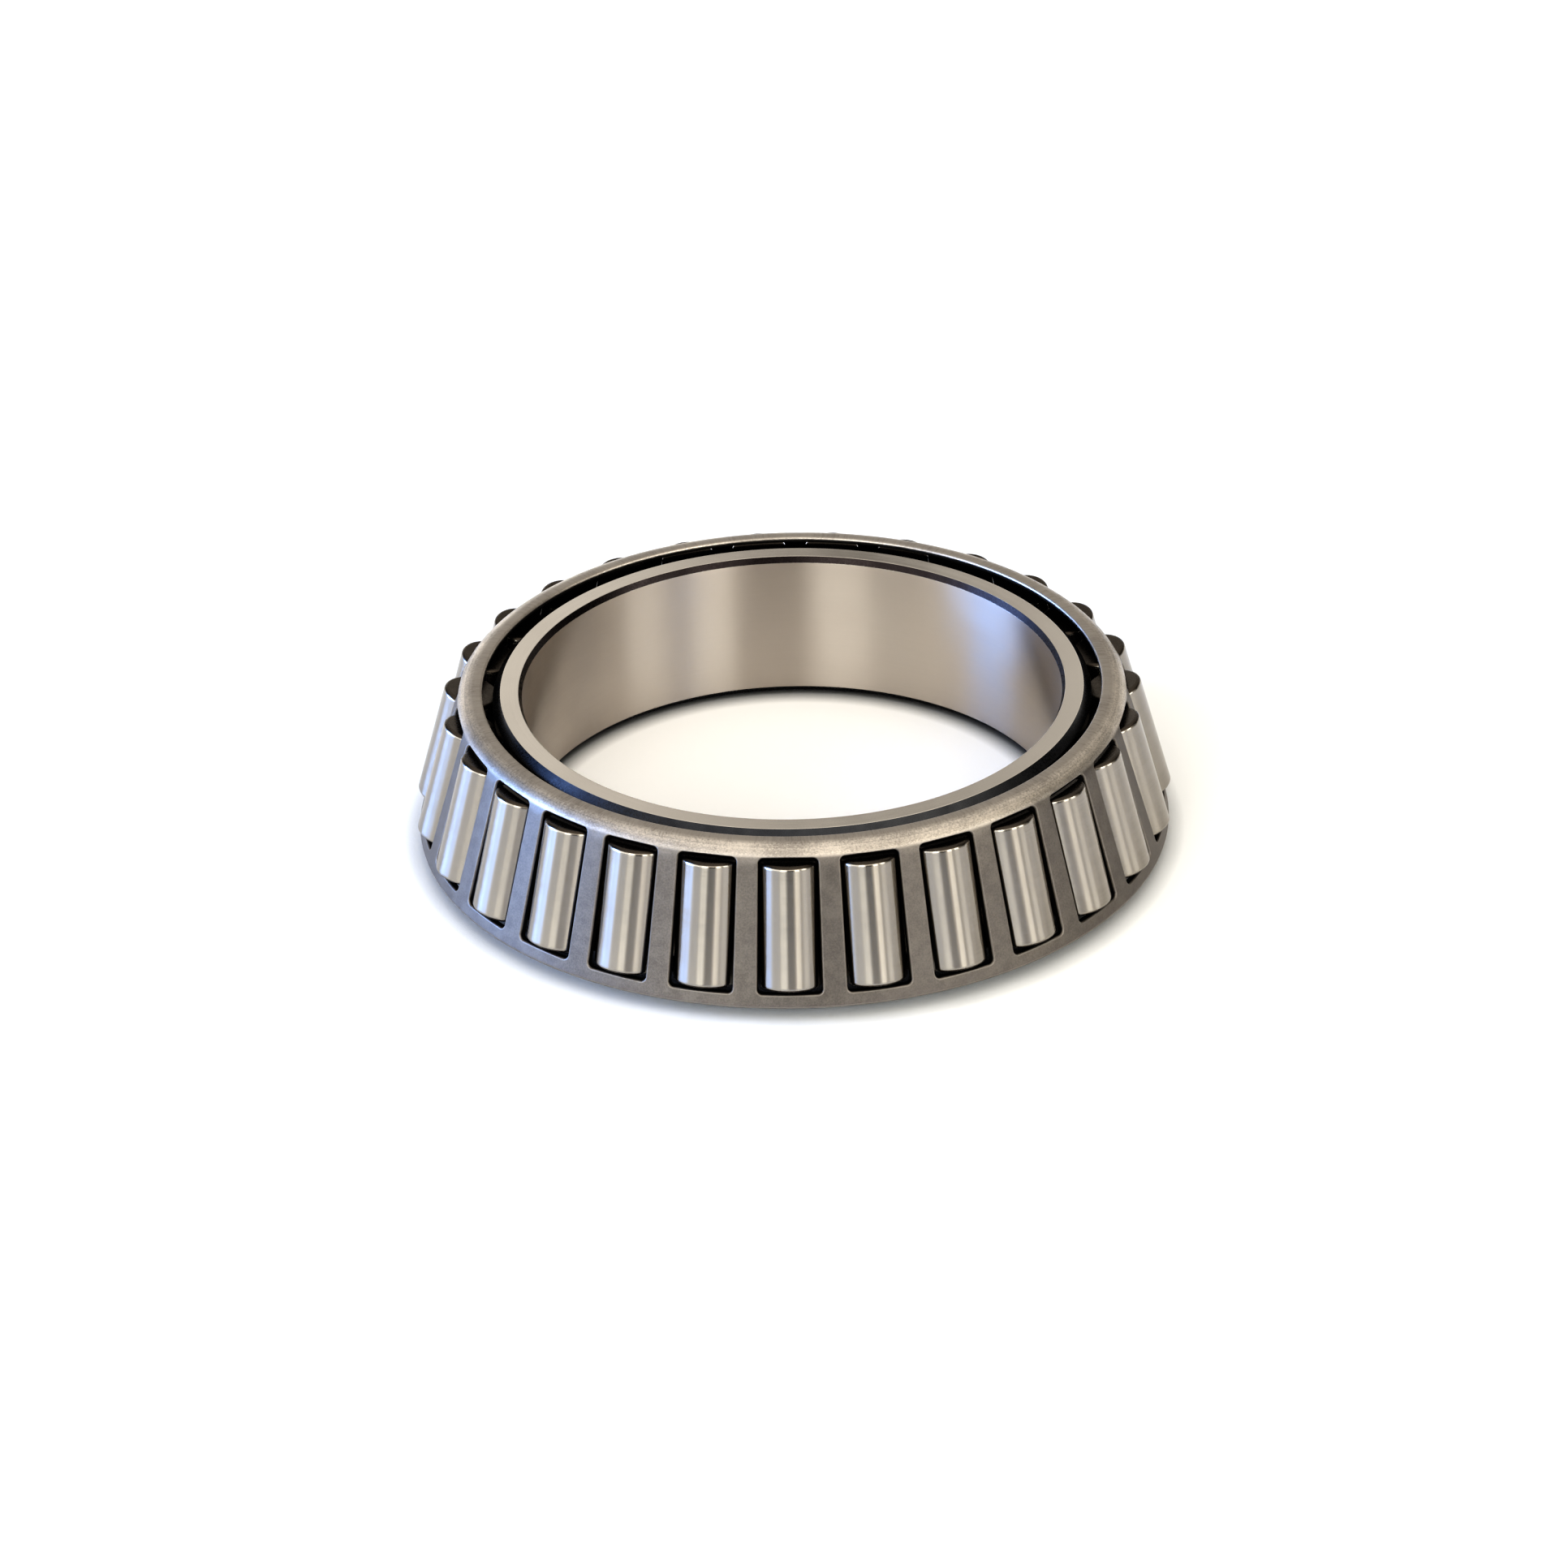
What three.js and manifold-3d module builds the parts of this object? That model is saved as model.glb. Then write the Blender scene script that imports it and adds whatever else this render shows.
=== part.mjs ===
// Tapered roller bearing cone assembly: an inner ring, a pressed steel cage and a row of
// tapered rollers. Millimetres, +Z up, origin at the centre of the ring's back face.
// The rollers' large ends point down, towards the back face.

import * as THREE from 'three';
import { mergeVertices } from 'three/addons/utils/BufferGeometryUtils.js';
import Module from 'manifold-3d';

const wasm = await Module();
wasm.setup();

const radians = THREE.MathUtils.degToRad;

// Inner ring
const BORE_RADIUS = 31.75;
const RING_WIDTH = 19.05;
const FRONT_FACE_RADIUS = 34.28;
const SMALL_RIB_RADIUS = 35.2;
const SMALL_RIB_CHAMFER_HEIGHT = 0.95;
const LARGE_RIB_RADIUS = 40;
const LARGE_RIB_CHAMFER = 0.6;
const BORE_FRONT_CHAMFER = { radial: 0.41, axial: 0.75 };
const BORE_BACK_CHAMFER = { radial: 1.1, axial: 1.06 };
const GROOVE_DEPTH = 0.25;
const GROOVE_WIDTH = 0.8;

// Rollers
const ROLLER_COUNT = 27;
const CUP_ANGLE = radians(15.5);
const ROLLER_TAPER = radians(1.29);
const ROLLER_LENGTH = 14.63;
const ROLLER_LARGE_RADIUS = 3.75;
const ROLLER_LARGE_CORNER = 0.5;
const ROLLER_SMALL_CORNER = 0.5;
const ROLLER_CREST = { radius: 45, height: 3.9 };

// Cage
const CAGE_ANGLE = radians(17);
const CAGE_BASE_RADIUS = 45.08;
const CAGE_RIM_HEIGHT = 1.5;
const CAGE_TOP_HEIGHT = 19.44;
const CAGE_HOLE_RADIUS = 36.4;
const CAGE_SHEET = 0.8;
const CAGE_BEND_RADIUS = 2.8;
const POCKET_LARGE_END_GAP = 0.47;
const POCKET_SMALL_END_GAP = 0.59;
const POCKET_SIDE_RETAIN = 0.06;
const POCKET_CORNER = 0.6;

// Running gaps
const RACEWAY_GAP = 0.05;
const LARGE_RIB_GAP = 0.06;
const SMALL_RIB_GAP = 0.22;

// Facets
const TURNED_FACETS = ROLLER_COUNT * 2;
const ROLLER_FACETS = 16;
const BEND_FACETS = 3;
const CORNER_FACETS = 2;

// Everything below follows from the driving dimensions above.
const PITCH = (2 * Math.PI) / ROLLER_COUNT;
const AXIS_TILT = CUP_ANGLE - ROLLER_TAPER;
const ROLLER_SMALL_RADIUS = ROLLER_LARGE_RADIUS - ROLLER_LENGTH * Math.tan(ROLLER_TAPER);

// Unit vectors in the (radius, height) half-plane: along a roller's axis and square to it.
const ALONG = new THREE.Vector2(-Math.sin(AXIS_TILT), Math.cos(AXIS_TILT));
const OUTWARD = new THREE.Vector2(Math.cos(AXIS_TILT), Math.sin(AXIS_TILT));

const LARGE_END = new THREE.Vector2(ROLLER_CREST.radius, ROLLER_CREST.height)
  .addScaledVector(OUTWARD, -ROLLER_LARGE_RADIUS);

// A point beside a roller's axis, in (radius, height).
function besideRoller(alongAxis, outward) {
  return LARGE_END.clone().addScaledVector(ALONG, alongAxis).addScaledVector(OUTWARD, outward);
}

// The height, at a given radius, of a plane square to the roller axis.
function endPlaneHeight(alongAxis, radius) {
  const onAxis = besideRoller(alongAxis, 0);
  return onAxis.y + (radius - onAxis.x) * Math.tan(AXIS_TILT);
}

function material(color, roughness) {
  return new THREE.MeshStandardMaterial({ color, roughness, metalness: 1 });
}

// Turns a closed (radius, height) outline about Z.
function turned(outline, facets) {
  const points = outline.map(([radius, height]) => new THREE.Vector2(radius, height));
  points.push(points[0].clone());
  const geometry = new THREE.LatheGeometry(points, facets);
  return geometry.rotateX(Math.PI / 2);
}

// A closed three.js geometry as a solid.
function solid(geometry) {
  const bare = geometry.clone();
  bare.deleteAttribute('normal');
  bare.deleteAttribute('uv');
  const merged = mergeVertices(bare, 1e-4);
  const vertProperties = new Float32Array(merged.attributes.position.array);
  const triVerts = new Uint32Array(merged.index.array);
  return new wasm.Manifold(new wasm.Mesh({ numProp: 3, vertProperties, triVerts }));
}

// A solid back as a flat-shaded three.js geometry.
function surface(body) {
  const mesh = body.getMesh();
  const geometry = new THREE.BufferGeometry();
  geometry.setAttribute('position', new THREE.BufferAttribute(mesh.vertProperties, 3));
  geometry.setIndex(new THREE.BufferAttribute(mesh.triVerts, 1));
  geometry.computeVertexNormals();
  return geometry;
}

// Inner ring: bore, flat faces, large rib, raceway between two relief grooves, small rib.
function ringOutline() {
  const raceway = (alongAxis, depth) => {
    const halfWidth = ROLLER_LARGE_RADIUS - alongAxis * Math.tan(ROLLER_TAPER);
    const point = besideRoller(alongAxis, -halfWidth - depth);
    return [point.x, point.y];
  };
  const grooveDepth = RACEWAY_GAP + GROOVE_DEPTH;
  const largeFoot = raceway(-LARGE_RIB_GAP, grooveDepth);
  const smallFoot = raceway(ROLLER_LENGTH + SMALL_RIB_GAP, grooveDepth);
  const largeRibFace = endPlaneHeight(-LARGE_RIB_GAP, LARGE_RIB_RADIUS);
  const smallRibFace = endPlaneHeight(ROLLER_LENGTH + SMALL_RIB_GAP, SMALL_RIB_RADIUS);
  return [
    [BORE_RADIUS + BORE_BACK_CHAMFER.radial, 0],
    [LARGE_RIB_RADIUS - LARGE_RIB_CHAMFER, 0],
    [LARGE_RIB_RADIUS, LARGE_RIB_CHAMFER],
    [LARGE_RIB_RADIUS, largeRibFace],
    largeFoot,
    raceway(GROOVE_WIDTH / 2, grooveDepth),
    raceway(GROOVE_WIDTH, RACEWAY_GAP),
    raceway(ROLLER_LENGTH - GROOVE_WIDTH, RACEWAY_GAP),
    raceway(ROLLER_LENGTH - GROOVE_WIDTH / 2, grooveDepth),
    smallFoot,
    [SMALL_RIB_RADIUS, smallRibFace],
    [SMALL_RIB_RADIUS, RING_WIDTH - SMALL_RIB_CHAMFER_HEIGHT],
    [FRONT_FACE_RADIUS, RING_WIDTH],
    [BORE_RADIUS + BORE_FRONT_CHAMFER.radial, RING_WIDTH],
    [BORE_RADIUS, RING_WIDTH - BORE_FRONT_CHAMFER.axial],
    [BORE_RADIUS, BORE_BACK_CHAMFER.axial],
  ];
}

function innerRing() {
  const mesh = new THREE.Mesh(turned(ringOutline(), TURNED_FACETS), material(0xa8a096, 0.35));
  mesh.name = 'inner_ring';
  return mesh;
}

// Cage blank: a sheet cone with a bend into a flat flange round the small end.
function cageOutline() {
  const outerRadius = (height) => CAGE_BASE_RADIUS - height * Math.tan(CAGE_ANGLE);
  const bendHeight = CAGE_TOP_HEIGHT - CAGE_BEND_RADIUS;
  const wallToBend = CAGE_BEND_RADIUS / Math.cos(CAGE_ANGLE);
  const bendRadius = outerRadius(bendHeight) - wallToBend;
  const bend = (reach, turn) => [
    bendRadius + reach * Math.cos(turn),
    bendHeight + reach * Math.sin(turn),
  ];
  const turns = [];
  for (let step = 0; step <= BEND_FACETS; step += 1) {
    turns.push(THREE.MathUtils.lerp(CAGE_ANGLE, Math.PI / 2, step / BEND_FACETS));
  }
  const outside = turns.map((turn) => bend(CAGE_BEND_RADIUS, turn));
  const inside = turns.map((turn) => bend(CAGE_BEND_RADIUS - CAGE_SHEET, turn)).reverse();
  return [
    [outerRadius(CAGE_RIM_HEIGHT) - CAGE_SHEET / Math.cos(CAGE_ANGLE), CAGE_RIM_HEIGHT],
    [outerRadius(CAGE_RIM_HEIGHT), CAGE_RIM_HEIGHT],
    ...outside,
    [CAGE_HOLE_RADIUS, CAGE_TOP_HEIGHT],
    [CAGE_HOLE_RADIUS, CAGE_TOP_HEIGHT - CAGE_SHEET],
    ...inside,
  ];
}

// A pocket's opening: x across the roller, y along its axis from the large end.
function pocketShape() {
  const bottom = -POCKET_LARGE_END_GAP;
  const top = ROLLER_LENGTH + POCKET_SMALL_END_GAP;
  const halfBottom = ROLLER_LARGE_RADIUS - POCKET_SIDE_RETAIN;
  const halfTop = ROLLER_SMALL_RADIUS - POCKET_SIDE_RETAIN;
  const quarter = Math.PI / 2;
  const shape = new THREE.Shape();
  const corner = (x, y, start) => shape.absarc(x, y, POCKET_CORNER, start, start + quarter);
  corner(halfTop - POCKET_CORNER, top - POCKET_CORNER, 0);
  corner(POCKET_CORNER - halfTop, top - POCKET_CORNER, quarter);
  corner(POCKET_CORNER - halfBottom, bottom + POCKET_CORNER, 2 * quarter);
  corner(halfBottom - POCKET_CORNER, bottom + POCKET_CORNER, 3 * quarter);
  shape.closePath();
  return shape;
}

// Places something built on the first roller's axis (x across, y along, z outward) at station k.
function stationMatrix(station) {
  const across = new THREE.Vector3(1, 0, 0);
  const along = new THREE.Vector3(0, -ALONG.x, ALONG.y);
  const outward = new THREE.Vector3(0, -OUTWARD.x, OUTWARD.y);
  const frame = new THREE.Matrix4().makeBasis(across, along, outward);
  frame.setPosition(0, -LARGE_END.x, LARGE_END.y);
  return frame.premultiply(new THREE.Matrix4().makeRotationZ(station * PITCH));
}

function cage() {
  const depth = CAGE_BEND_RADIUS + ROLLER_LARGE_RADIUS;
  const cutter = new THREE.ExtrudeGeometry(pocketShape(), {
    depth,
    bevelEnabled: false,
    curveSegments: CORNER_FACETS,
  });
  let body = solid(turned(cageOutline(), TURNED_FACETS));
  for (let station = 0; station < ROLLER_COUNT; station += 1) {
    body = body.subtract(solid(cutter.clone().applyMatrix4(stationMatrix(station))));
  }
  const mesh = new THREE.Mesh(surface(body), material(0x7d7872, 0.5));
  mesh.name = 'cage';
  return mesh;
}

// One tapered roller with chamfered corners, turned about its own axis.
function rollerGeometry() {
  const radiusAt = (alongAxis) => ROLLER_LARGE_RADIUS - alongAxis * Math.tan(ROLLER_TAPER);
  const smallShoulder = ROLLER_LENGTH - ROLLER_SMALL_CORNER;
  const profile = [
    [0, 0],
    [ROLLER_LARGE_RADIUS - ROLLER_LARGE_CORNER, 0],
    [radiusAt(ROLLER_LARGE_CORNER), ROLLER_LARGE_CORNER],
    [radiusAt(smallShoulder), smallShoulder],
    [ROLLER_SMALL_RADIUS - ROLLER_SMALL_CORNER, ROLLER_LENGTH],
    [0, ROLLER_LENGTH],
  ];
  const points = profile.map(([radius, alongAxis]) => new THREE.Vector2(radius, alongAxis));
  const lathe = new THREE.LatheGeometry(points, ROLLER_FACETS);
  return surface(solid(lathe));
}

function roller(station, geometry, steel) {
  const mesh = new THREE.Mesh(geometry, steel);
  mesh.name = `roller_${String(station + 1).padStart(2, '0')}`;
  mesh.applyMatrix4(stationMatrix(station));
  return mesh;
}

const bearing = new THREE.Group();
bearing.add(innerRing());
bearing.add(cage());
const geometry = rollerGeometry();
const steel = material(0xc4c0b8, 0.22);
for (let station = 0; station < ROLLER_COUNT; station += 1) {
  bearing.add(roller(station, geometry, steel));
}

export default bearing;
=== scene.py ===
import math

import bmesh
import bpy
import numpy as np
from mathutils import Matrix, Vector


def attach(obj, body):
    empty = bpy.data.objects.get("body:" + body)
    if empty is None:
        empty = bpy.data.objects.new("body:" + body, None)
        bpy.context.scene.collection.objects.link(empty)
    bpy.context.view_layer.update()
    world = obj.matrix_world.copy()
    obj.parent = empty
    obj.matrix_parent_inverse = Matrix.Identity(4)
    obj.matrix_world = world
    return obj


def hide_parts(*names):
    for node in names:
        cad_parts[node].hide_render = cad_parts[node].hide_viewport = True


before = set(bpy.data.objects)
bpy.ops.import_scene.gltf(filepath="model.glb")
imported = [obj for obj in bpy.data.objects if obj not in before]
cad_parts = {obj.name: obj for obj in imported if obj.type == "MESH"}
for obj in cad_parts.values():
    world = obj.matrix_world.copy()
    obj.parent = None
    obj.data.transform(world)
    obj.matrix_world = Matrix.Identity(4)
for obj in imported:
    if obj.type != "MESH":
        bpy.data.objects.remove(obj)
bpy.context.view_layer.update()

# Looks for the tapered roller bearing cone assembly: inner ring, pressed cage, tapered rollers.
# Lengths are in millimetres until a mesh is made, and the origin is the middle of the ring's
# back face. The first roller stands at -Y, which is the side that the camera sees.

MM = 0.001
QUARTER = math.pi / 2
radians = math.radians

# Inner ring
BORE_RADIUS = 31.75
RING_WIDTH = 19.05
FRONT_FACE_RADIUS = 34.28
SMALL_RIB_RADIUS = 35.2
SMALL_RIB_CHAMFER = 0.95
LARGE_RIB_RADIUS = 40.0
LARGE_RIB_CHAMFER = 0.6
BORE_FRONT_CHAMFER = (0.41, 0.75)
BORE_BACK_CHAMFER = (1.1, 1.06)
GROOVE_DEPTH = 0.25
GROOVE_WIDTH = 0.8
RACEWAY_GAP = 0.05
LARGE_RIB_GAP = 0.06
SMALL_RIB_GAP = 0.22
CHAMFER_ROUND = 0.12
LARGE_RIB_ROUND = 0.15
RACEWAY_ROUND = 0.1
GROOVE_ROUND = 0.2
FACE_RIB_ROUND = 0.07
FACE_BORE_ROUND = 0.06
RING_SEGMENTS = 432

# Rollers
ROLLER_COUNT = 27
PITCH = 2 * math.pi / ROLLER_COUNT
CUP_ANGLE = radians(15.5)
ROLLER_TAPER = radians(1.29)
ROLLER_LENGTH = 14.63
ROLLER_LARGE_RADIUS = 3.75
ROLLER_SMALL_RADIUS = ROLLER_LARGE_RADIUS - ROLLER_LENGTH * math.tan(ROLLER_TAPER)
ROLLER_LARGE_CORNER = 0.5
ROLLER_SMALL_CORNER = 0.5
ROLLER_CREST = (45.0, 3.9)
ROLLER_SEGMENTS = 96

# Cage
CAGE_ANGLE = radians(17)
CAGE_BASE_RADIUS = 45.08
CAGE_RIM_HEIGHT = 1.5
CAGE_TOP_HEIGHT = 19.44
CAGE_HOLE_RADIUS = 36.4
CAGE_SHEET = 0.8
CAGE_BEND_RADIUS = 2.8
SHEET_END_ROUND = 0.3
POCKET_LARGE_END_GAP = 0.47
POCKET_SMALL_END_GAP = 0.59
POCKET_SIDE_RETAIN = 0.06
POCKET_CORNER = 0.6
PUNCH_ROUND = 0.2
PUNCH_EXIT_ROUND = 0.06
PUNCH_TAPER = 0.12
PUNCH_LEAN = 0.3

# Wear and painted light of the cage's sheet: above 0 where it is rubbed bright, partly a painted
# highlight; below 0 where shade is painted, dark inside the sheet and down the pocket walls.
WEAR_NONE = 0.0
# Above 0, the rubbing is partly a painted highlight on the rim, the punched edges and the hole's
# edge
RIM_WEAR_AND_SHEEN = 1.0
PUNCHED_EDGE_WEAR_AND_SHEEN = 0.3
HOLE_EDGE_WEAR_AND_SHEEN = 0.2
# Below 0, shade is painted: inside the sheet, down the pocket walls and behind the sheet's ends
PAINTED_SHADE_INSIDE = -1.0
PAINTED_SHADE_INNER_END = -0.8

# The (radius, height) half-plane: unit vectors along a roller's axis and square to it.
TILT = CUP_ANGLE - ROLLER_TAPER
ALONG = np.array([-math.sin(TILT), math.cos(TILT)])
OUTWARD = np.array([math.cos(TILT), math.sin(TILT)])
LARGE_END = np.array(ROLLER_CREST) - ROLLER_LARGE_RADIUS * OUTWARD


def beside_roller(along, outward):
    """A point beside a roller's axis, in (radius, height)."""
    return LARGE_END + along * ALONG + outward * OUTWARD


def end_plane_height(along, radius):
    """The height, at a given radius, of a plane square to the roller axis."""
    on_axis = beside_roller(along, 0.0)
    return on_axis[1] + (radius - on_axis[0]) * math.tan(TILT)


# ---------------------------------------------------------------- meshes

# How far the support points lie past an arc's ends, and how near points are welded
SUPPORT = 0.05
WELD_DISTANCE = 2e-4
ROUND_STEPS = 5


def rounded(corners, closed, steps=ROUND_STEPS):
    """An outline through (x, y, round) corners, each round drawn as an arc between two
    support points that keep the flat stretches flat when the mesh is smooth shaded."""
    count = len(corners)
    points = []
    for i, (x, y, radius) in enumerate(corners):
        here = np.array([x, y])
        if radius == 0 or (not closed and i in (0, count - 1)):
            points.append(tuple(here))
            continue
        back = np.array(corners[i - 1][:2]) - here
        ahead = np.array(corners[(i + 1) % count][:2]) - here
        back /= np.linalg.norm(back)
        ahead /= np.linalg.norm(ahead)
        half = math.acos(float(np.clip(back @ ahead, -1, 1))) / 2
        reach = radius / math.tan(half)
        middle = (back + ahead) / np.linalg.norm(back + ahead)
        centre = here + middle * radius / math.sin(half)
        start = here + back * reach - centre
        end = here + ahead * reach - centre
        sweep = math.pi - 2 * half
        turn = sweep if start[0] * end[1] - start[1] * end[0] > 0 else -sweep
        points.append(tuple(here + back * (reach + SUPPORT)))
        for step in range(steps + 1):
            a = turn * step / steps
            spun = (
                start[0] * math.cos(a) - start[1] * math.sin(a),
                start[0] * math.sin(a) + start[1] * math.cos(a),
            )
            points.append((centre[0] + spun[0], centre[1] + spun[1]))
        points.append(tuple(here + ahead * (reach + SUPPORT)))
    return points


def mesh_object(name, vertices, faces, slot_of_face=None, wear_and_painted_light=None):
    """A smooth-shaded object from vertices in millimetres."""
    mesh = bpy.data.meshes.new(name)
    mesh.from_pydata([tuple(v) for v in np.asarray(vertices) * MM], [], faces)
    if slot_of_face is not None:
        mesh.polygons.foreach_set("material_index", slot_of_face)
    if wear_and_painted_light is not None:
        layer = mesh.attributes.new("wear_and_painted_light", "FLOAT", "POINT")
        layer.data.foreach_set("value", wear_and_painted_light)
    body = bmesh.new()
    body.from_mesh(mesh)
    bmesh.ops.remove_doubles(body, verts=body.verts, dist=WELD_DISTANCE * MM)
    bmesh.ops.recalc_face_normals(body, faces=body.faces)
    body.to_mesh(mesh)
    body.free()
    mesh.polygons.foreach_set("use_smooth", [True] * len(mesh.polygons))
    mesh.update()
    piece = bpy.data.objects.new(name, mesh)
    bpy.context.scene.collection.objects.link(piece)
    return piece


def turned(name, outline, segments, closed, slot_of_stretch):
    """Turns a (radius, height) outline about Z. An open outline starts and ends on the axis.
    slot_of_stretch says which material the faces from one point to the next get."""
    count = len(outline)
    angles = np.arange(segments) * 2 * math.pi / segments
    vertices = [
        (radius * math.sin(a), -radius * math.cos(a), height)
        for a in angles
        for radius, height in outline
    ]
    faces, slots = [], []
    stretches = count if closed else count - 1
    for s in range(segments):
        here, there = s * count, (s + 1) % segments * count
        for i in range(stretches):
            j = (i + 1) % count
            quad = [here + i, there + i, there + j, here + j]
            if outline[i][0] == 0:
                quad = [i, there + j, here + j]
            elif outline[j][0] == 0:
                quad = [here + i, there + i, j]
            faces.append(quad)
            slots.append(slot_of_stretch(outline[i], outline[j]))
    return mesh_object(name, vertices, faces, slots)


# ---------------------------------------------------------------- inner ring

# The ring's materials, in the order that add_ring gives them.
GROUND, BORE, TURNED, FRONT_CHAMFER = range(4)

# Lengths that tell its faces apart: a stretch that climbs less than LEVEL is flat, one within
# NEAR_FACE of an end is at an end face, and the raceway climbs by more than RACEWAY_CLIMB.
LEVEL = 0.01
NEAR_FACE = 0.1
RACEWAY_HEIGHTS = (5.0, RING_WIDTH - 2.5)
RACEWAY_CLIMB = 1.0


def ring_outline():
    """The ring's section, from the bore's back chamfer out along the back face and round."""

    def raceway(along, depth):
        half_width = ROLLER_LARGE_RADIUS - along * math.tan(ROLLER_TAPER)
        return tuple(beside_roller(along, -half_width - depth))

    groove = RACEWAY_GAP + GROOVE_DEPTH
    top = ROLLER_LENGTH
    rib_top = RING_WIDTH - SMALL_RIB_CHAMFER
    large_face = end_plane_height(-LARGE_RIB_GAP, LARGE_RIB_RADIUS)
    small_face = end_plane_height(top + SMALL_RIB_GAP, SMALL_RIB_RADIUS)
    corners = [
        (BORE_RADIUS + BORE_BACK_CHAMFER[0], 0, CHAMFER_ROUND),
        (LARGE_RIB_RADIUS - LARGE_RIB_CHAMFER, 0, CHAMFER_ROUND),
        (LARGE_RIB_RADIUS, LARGE_RIB_CHAMFER, CHAMFER_ROUND),
        (LARGE_RIB_RADIUS, large_face, LARGE_RIB_ROUND),
        (*raceway(-LARGE_RIB_GAP, groove), RACEWAY_ROUND),
        (*raceway(GROOVE_WIDTH / 2, groove), GROOVE_ROUND),
        (*raceway(GROOVE_WIDTH, RACEWAY_GAP), RACEWAY_ROUND),
        (*raceway(top - GROOVE_WIDTH, RACEWAY_GAP), RACEWAY_ROUND),
        (*raceway(top - GROOVE_WIDTH / 2, groove), GROOVE_ROUND),
        (*raceway(top + SMALL_RIB_GAP, groove), RACEWAY_ROUND),
        (SMALL_RIB_RADIUS, small_face, RACEWAY_ROUND),
        (SMALL_RIB_RADIUS, rib_top, CHAMFER_ROUND),
        (FRONT_FACE_RADIUS, RING_WIDTH, FACE_RIB_ROUND),
        (BORE_RADIUS + BORE_FRONT_CHAMFER[0], RING_WIDTH, FACE_BORE_ROUND),
        (BORE_RADIUS, RING_WIDTH - BORE_FRONT_CHAMFER[1], CHAMFER_ROUND),
        (BORE_RADIUS, BORE_BACK_CHAMFER[1], CHAMFER_ROUND),
    ]
    return rounded(corners, closed=True)


def ring_slot(start, end):
    """GROUND is for the end faces and the raceway, BORE for the bore, FRONT_CHAMFER for the
    chamfer between the bore and the front face, and TURNED for all that is left as it was
    turned and hardened: the other chamfers, the outsides of the ribs and the grooves."""
    widest = max(start[0], end[0])
    climb = abs(start[1] - end[1])
    height = (start[1] + end[1]) / 2
    at_end_face = not NEAR_FACE < height < RING_WIDTH - NEAR_FACE
    if at_end_face and climb < LEVEL:
        return GROUND
    if widest < BORE_RADIUS + LEVEL:
        return BORE
    if height > RING_WIDTH / 2 and widest < FRONT_FACE_RADIUS - NEAR_FACE:
        return FRONT_CHAMFER
    on_raceway = RACEWAY_HEIGHTS[0] < height < RACEWAY_HEIGHTS[1] and climb > RACEWAY_CLIMB
    return GROUND if on_raceway else TURNED


# ---------------------------------------------------------------- rollers

# A roller's materials, in the order that add_rollers gives them.
BARREL, END = range(2)
END_SLOPE = 0.5
ROLLER_ROUND_STEPS = 7


def roller_outline():
    """A roller's section, from the middle of its large end to the middle of its small end."""
    corners = [
        (0, 0, 0),
        (ROLLER_LARGE_RADIUS, 0, ROLLER_LARGE_CORNER),
        (ROLLER_SMALL_RADIUS, ROLLER_LENGTH, ROLLER_SMALL_CORNER),
        (0, ROLLER_LENGTH, 0),
    ]
    return rounded(corners, closed=False, steps=ROLLER_ROUND_STEPS)


def roller_slot(start, end):
    """END is for the end faces and the greater part of their rounded corners."""
    across = abs(start[0] - end[0])
    climb = abs(start[1] - end[1])
    return END if across > END_SLOPE * climb else BARREL


def station_matrix(station):
    """Local X across the roller, Y towards the bearing's axis, Z along the roller."""
    first = Matrix(
        (
            (1, 0, 0, 0),
            (0, OUTWARD[0], -ALONG[0], -LARGE_END[0] * MM),
            (0, -OUTWARD[1], ALONG[1], LARGE_END[1] * MM),
            (0, 0, 0, 1),
        )
    )
    return Matrix.Rotation(station * PITCH, 4, "Z") @ first


# ---------------------------------------------------------------- cage

# The sheet has its own coordinates: s runs up the outside from the rim, then over the bend to
# the hole, and depth goes into the sheet.
BEND_CENTRE = np.array(
    [
        CAGE_BASE_RADIUS
        - (CAGE_TOP_HEIGHT - CAGE_BEND_RADIUS) * math.tan(CAGE_ANGLE)
        - CAGE_BEND_RADIUS / math.cos(CAGE_ANGLE),
        CAGE_TOP_HEIGHT - CAGE_BEND_RADIUS,
    ]
)
RIM = np.array([CAGE_BASE_RADIUS - CAGE_RIM_HEIGHT * math.tan(CAGE_ANGLE), CAGE_RIM_HEIGHT])
CONE_UP = np.array([-math.sin(CAGE_ANGLE), math.cos(CAGE_ANGLE)])
CONE_OUT = np.array([math.cos(CAGE_ANGLE), math.sin(CAGE_ANGLE)])
BEND_START = float((BEND_CENTRE + CAGE_BEND_RADIUS * CONE_OUT - RIM) @ CONE_UP)
BEND_END = BEND_START + CAGE_BEND_RADIUS * (QUARTER - CAGE_ANGLE)
SHEET_END = BEND_END + BEND_CENTRE[0] - CAGE_HOLE_RADIUS

# The band of the sheet, in s, that is meshed round the pockets, and how finely.
POCKET_BAND = (0.85, BEND_START + 1.7)
POCKET_SPREAD = (0.0, 0.25, 0.5, 0.72, 0.88, 0.96)
ACROSS_STEPS = 12
UP_STEPS = 18
CORNER_STEPS = 4
PUNCH_ROUND_STEPS = 4
PUNCH_EXIT_STEPS = 3
PUNCH_HALVINGS = 40
LONGEST_SHEET_STEP = 0.3


def sheet_point(s, depth):
    """(radius, height) of a point of the sheet."""
    if s <= BEND_START:
        return RIM + s * CONE_UP - depth * CONE_OUT
    if s <= BEND_END:
        turn = CAGE_ANGLE + (s - BEND_START) / CAGE_BEND_RADIUS
        reach = CAGE_BEND_RADIUS - depth
        return BEND_CENTRE + reach * np.array([math.cos(turn), math.sin(turn)])
    return np.array([BEND_CENTRE[0] - (s - BEND_END), CAGE_TOP_HEIGHT - depth])


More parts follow.
